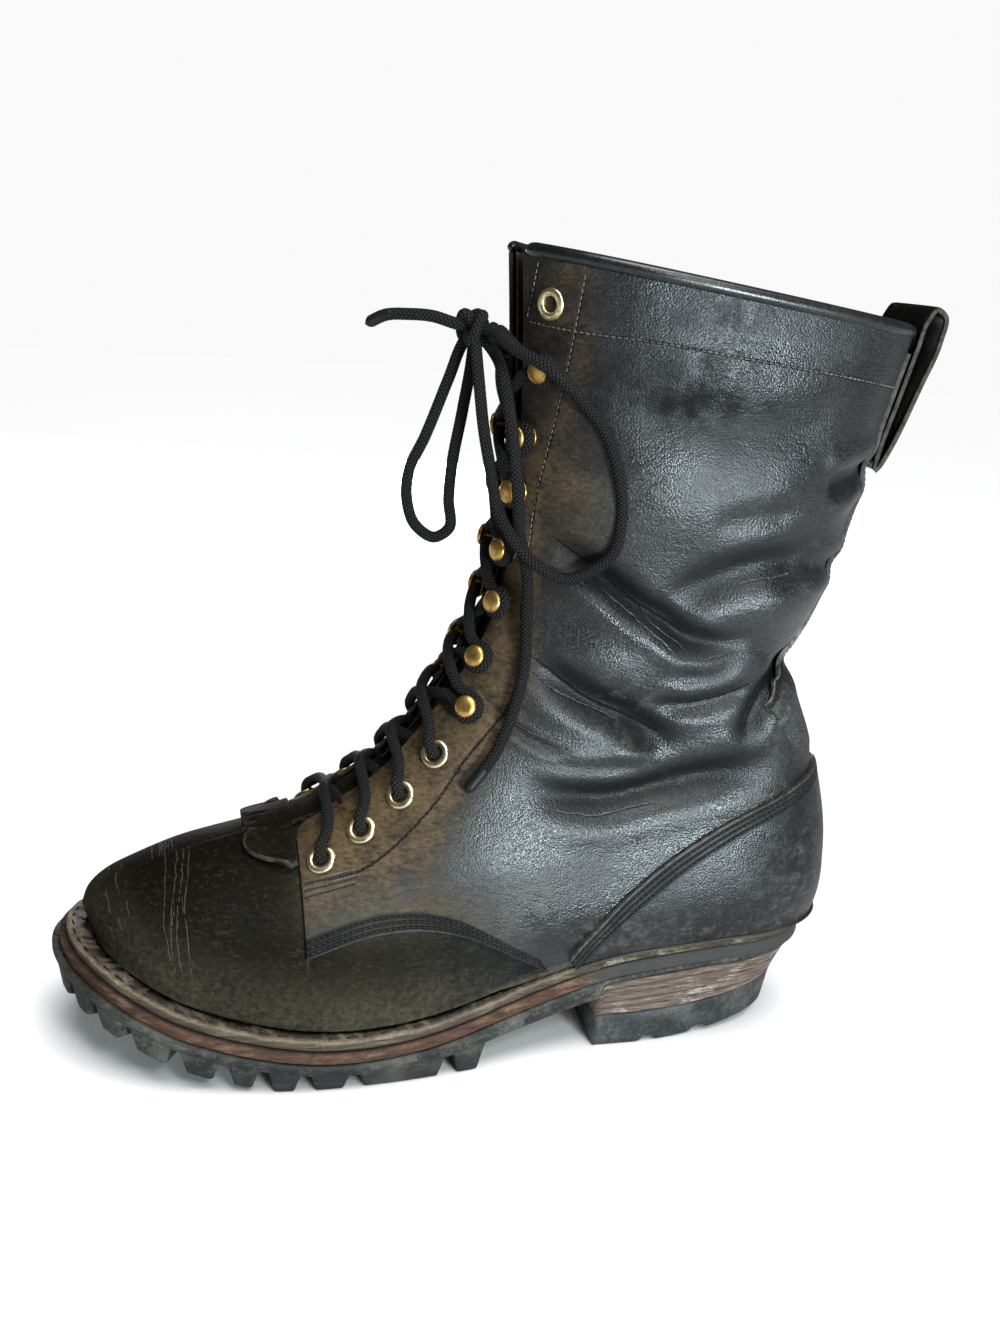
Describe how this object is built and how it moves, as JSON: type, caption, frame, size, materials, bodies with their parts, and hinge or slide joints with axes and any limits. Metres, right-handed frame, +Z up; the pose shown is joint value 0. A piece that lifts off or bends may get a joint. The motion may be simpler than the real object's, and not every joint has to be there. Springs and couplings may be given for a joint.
{
  "type": "wildland fire boot",
  "caption": "Tall lace-up logger boot in black leather with a lugged sole, high stacked heel, toothed kiltie, brass eyelets and hooks, and a pull loop, for wildland firefighting.",
  "frame": {"origin": "middle of the boot's box, on the floor that its sole stands on", "axes": "+X from toe to heel, +Y to the medial side, +Z up"},
  "size_m": [0.3382, 0.1112, 0.3166],
  "materials": {
    "black_leather": "oiled, worn to a satin sheen",
    "welt_leather": "dry, dusty and cracked",
    "brown_leather": "raw stacked edge, weathered",
    "insole_leather": "plain vegetable-tanned grain",
    "rubber": "matt, dusty",
    "brass": "polished, rubbed",
    "lace": "round braided cord"
  },
  "bodies": {
    "root": {"outsole": "rubber", "midsole": "brown_leather", "welt": "welt_leather", "heel_rand": "welt_leather", "heel_lift_1": "brown_leather", "heel_lift_2": "brown_leather", "heel_lift_3": "brown_leather", "heel_top_lift": "rubber", "insole": "insole_leather", "upper": "black_leather", "tongue": "black_leather", "counter": "black_leather", "backstay": "black_leather", "collar_roll": "black_leather", "kiltie": "brown_leather", "pull_loop": "black_leather", "eyelet_lateral_1": "brass", "eyelet_lateral_2": "brass", "eyelet_lateral_3": "brass", "eyelet_lateral_4": "brass", "eyelet_lateral_5": "brass", "eyelet_medial_1": "brass", "eyelet_medial_2": "brass", "eyelet_medial_3": "brass", "eyelet_medial_4": "brass", "eyelet_medial_5": "brass", "hook_lateral_1": "brass", "hook_lateral_2": "brass", "hook_lateral_3": "brass", "hook_lateral_4": "brass", "hook_lateral_5": "brass", "hook_lateral_6": "brass", "hook_lateral_7": "brass", "hook_medial_1": "brass", "hook_medial_2": "brass", "hook_medial_3": "brass", "hook_medial_4": "brass", "hook_medial_5": "brass", "hook_medial_6": "brass", "hook_medial_7": "brass", "lace_crossings": "lace", "lace_knot": "lace", "lace_loop_lateral": "lace", "lace_end_lateral": "lace", "lace_loop_medial": "lace", "lace_end_medial": "lace"}
  },
  "joints": []
}
